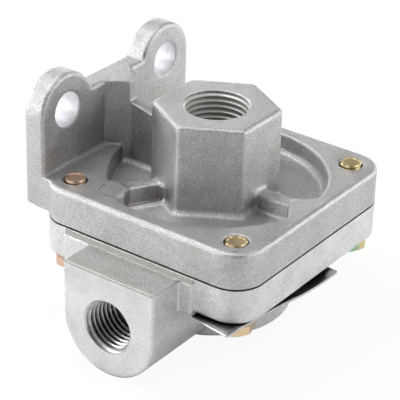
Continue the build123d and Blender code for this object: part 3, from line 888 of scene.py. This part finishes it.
def lockWasher(number, x, y):
    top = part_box(f"lock_washer_{number}")[1].z / mm
    profile = section(washerShape["bore"], washerShape["rim"], top - washerShape["thickness"], top)
    bm = bmesh.new()
    bmesh.ops.spin(bm, geom=polyline(bm, profile, closed=True), cent=(0, 0, 0), axis=(0, 0, 1),
                   angle=math.radians(360 - washerShape["split"]), steps=washerShape["steps"])
    closeEnds(bm)
    bmesh.ops.recalc_face_normals(bm, faces=bm.faces)
    roundEdges(bm, sharpEdges(bm), washerShape["edge"], 2)
    turn = Matrix.Rotation(math.radians(screwShape["turns"][number - 1]), 4, "Z")
    washer = meshObject(bm, f"lockWasher{number}", washerSteel)
    placed(washer, Matrix.Translation((x * mm, y * mm, 0)) @ turn)
    shadeSmooth(washer)
    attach(washer, "housing")
    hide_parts(f"lock_washer_{number}")


for number, (x, y) in enumerate(screwPlaces, start=1):
    capScrew(number, x, y)
    lockWasher(number, x, y)
print("screws and washers made")


# tag strip

tagShape = {
    "edge": 0.08,           # mm
    "sameFace": 1.0,        # degrees; faces that turn less are joined before the strip is cut across
    "cuts": 24,
    "clamped": 4.9,         # flat under the screw's washer, mm each way
    "sag": 1.15,            # how far the free part bows down
    "bow": 0.85,            # how much of a half wave the bow is
    "bowShift": 1.2,        # above 1, its lowest point moves towards the free end
    "twist": 1.6,           # how much lower the bow's inner side hangs
    "narrowing": 0.9,       # of the outer side at the free end
    "lean": 6.4,            # degrees off the Y axis
    "width": 11.4,
    "lip": 0.80,            # how much the short end is drawn out, and how far it drops
    "lipDrop": 0.15,
}
bm = mergedCopy("tag_plate")
bmesh.ops.dissolve_limit(bm, angle_limit=math.radians(tagShape["sameFace"]), verts=bm.verts, edges=bm.edges)
tagLow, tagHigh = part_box("tag_plate")
roundEdges(bm, sharpEdges(bm), tagShape["edge"], 2)
for i in range(1, tagShape["cuts"]):
    cut = Vector((0, tagLow.y + (tagHigh.y - tagLow.y) * i / tagShape["cuts"], 0))
    whole = bm.verts[:] + bm.edges[:] + bm.faces[:]
    bmesh.ops.bisect_plane(bm, geom=whole, plane_co=cut, plane_no=(0, 1, 0))
clampX, clampY = coverHoles["screwX"] * mm, -coverHoles["screwY"] * mm
clamped = tagShape["clamped"] * mm
lipLength = clampY - clamped - tagLow.y
freeLength = tagHigh.y - clampY - clamped
for vert in bm.verts:
    free = max(vert.co.y - clampY - clamped, 0) / freeLength
    middle = clampX + (vert.co.y - clampY) * math.tan(math.radians(tagShape["lean"]))
    outer = min(max((vert.co.x - middle) / (tagShape["width"] * mm) + 0.5, 0), 1)
    hang = tagShape["sag"] + tagShape["twist"] * (1 - outer)
    vert.co.z -= hang * math.sin(math.pi * tagShape["bow"] * free ** tagShape["bowShift"]) * mm
    vert.co.x -= tagShape["narrowing"] * free * outer * mm
    short = max(clampY - clamped - vert.co.y, 0) / lipLength
    vert.co.y -= tagShape["lip"] * short * mm
    vert.co.z -= tagShape["lipDrop"] * short * mm
tagStrip = meshObject(bm, "tagStrip", tagSheet)
shadeSmooth(tagStrip)
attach(tagStrip, "housing")
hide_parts("tag_plate")
print("tag strip made")


# pieces inside

for node, material in (("diaphragm", blackRubber), ("seal_ring", blackRubber), ("spring_seat", washerSteel)):
    slots = nodes[node].data.materials
    slots.clear()
    slots.append(material)

# the spring stands on the body's ledge and gets a mesh of its own
springCoil = meshObject(mergedCopy("spring"), "springCoil", springSteel)
shadeSmooth(springCoil)
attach(springCoil, "housing")
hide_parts("spring")
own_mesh(springCoil)
print("inner pieces finished")


# floor, light and camera

studio = {
    "floorZ": -54.6,        # mm
    "floorSize": 4.0,       # m
    "floorColour": (0.82, 0.82, 0.82, 1),
    "floorRoughness": 0.9,
    "floorGlow": 0.93,      # the floor as the camera sees it: this share plain white, the rest lit paper
    "backdrop": 1.0,
    "world": 0.05,
    "aimZ": -25,            # mm, the height that the lamps face
    "lampDistance": 0.9,    # m
    "lampSize": 0.5,        # m
    "lamps": [
        # name, azimuth and elevation that it stands at, watts
        ("wallBox", 180, 8, 3.6),
        ("leftLow", 225, 8, 4.7),
        ("rightLow", 45, 8, 3.4),
        ("wallHigh", 180, 66, 2.8),
        ("backLow", 135, 8, 2.0),
        ("farLow", 0, 8, 1.6),
        ("backBox", 90, 8, 1.5),
        ("rightBox", 22, 38, 1.2),
        ("leftHigh", 225, 66, 1.5),
        ("topBox", 0, 90, 0.9),
        ("farHigh", 0, 66, 0.3),
        ("leftBox", 247, 38, 0.4),
        ("frontLow", 270, 8, 0.3),
    ],
}


def whiteNode(tree, kind, strength=None):
    node = tree.nodes.new(kind)
    node.inputs["Color"].default_value = (1, 1, 1, 1)
    if strength is not None:
        node.inputs["Strength"].default_value = strength
    return node.outputs[0]


def mixShaders(tree, share, first, second):
    # a mix of two shaders; the share of the second is a number or a socket
    mix = tree.nodes.new("ShaderNodeMixShader")
    if isinstance(share, float):
        mix.inputs[0].default_value = share
    else:
        joinNodes(tree, (share, mix.inputs[0]))
    joinNodes(tree, (first, mix.inputs[1]), (second, mix.inputs[2]))
    return mix.outputs[0]


def cameraRay(tree):
    return tree.nodes.new("ShaderNodeLightPath").outputs["Is Camera Ray"]


bm = bmesh.new()
bmesh.ops.create_grid(bm, x_segments=1, y_segments=1, size=studio["floorSize"])
bmesh.ops.translate(bm, verts=bm.verts, vec=(0, 0, studio["floorZ"] * mm))
paleFloor, tree, shader = newMaterial("paleFloor", Base_Color=studio["floorColour"],
                                      Roughness=studio["floorRoughness"])
white = whiteNode(tree, "ShaderNodeEmission", studio["backdrop"])
paper = whiteNode(tree, "ShaderNodeBsdfDiffuse")
seen = mixShaders(tree, studio["floorGlow"], paper, white)
floorMix = mixShaders(tree, cameraRay(tree), shader.outputs[0], seen)
joinNodes(tree, (floorMix, tree.nodes["Material Output"].inputs["Surface"]))
floor = meshObject(bm, "floor", paleFloor)

world = bpy.data.worlds.new("studioWorld")
bpy.context.scene.world = world
world.use_nodes = True
tree = world.node_tree
tree.nodes.clear()
output = tree.nodes.new("ShaderNodeOutputWorld")
room = whiteNode(tree, "ShaderNodeBackground", studio["world"])
backdrop = whiteNode(tree, "ShaderNodeBackground", studio["backdrop"])
roomMix = mixShaders(tree, cameraRay(tree), room, backdrop)
joinNodes(tree, (roomMix, output.inputs["Surface"]))

aim = Vector((0, 0, studio["aimZ"] * mm))
for name, azimuth, elevation, watts in studio["lamps"]:
    lamp = bpy.data.lights.new(name, "AREA")
    lamp.shape = "SQUARE"
    lamp.size = studio["lampSize"]
    lamp.energy = watts
    a, e = math.radians(azimuth), math.radians(elevation)
    out = Vector((math.cos(a) * math.cos(e), math.sin(a) * math.cos(e), math.sin(e)))
    place = Matrix.Translation(aim + out * studio["lampDistance"])
    linked(name, lamp).matrix_world = place @ out.to_track_quat("Z", "Y").to_matrix().to_4x4()

cameraView = {
    "place": (218.72, -312.65, 182.39),   # mm
    "right": (0.8056, 0.5918, 0.0264),    # the camera's own axes
    "up": (-0.3022, 0.3722, 0.8776),
    "back": (0.5096, -0.7150, 0.4786),
    "lens": 162.47,                       # mm
    "sensor": 36,                         # mm
    "near": 0.01,                         # m
}
camera = bpy.data.cameras.new("camera")
camera.lens = cameraView["lens"]
camera.sensor_width = cameraView["sensor"]
camera.clip_start = cameraView["near"]
cameraHolder = linked("camera", camera)
turn = Matrix((cameraView["right"], cameraView["up"], cameraView["back"])).transposed()
cameraHolder.matrix_world = Matrix.Translation(Vector(cameraView["place"]) * mm) @ turn.normalized().to_4x4()
bpy.context.scene.camera = cameraHolder
bpy.context.scene.view_settings.view_transform = "Standard"
print("studio ready")
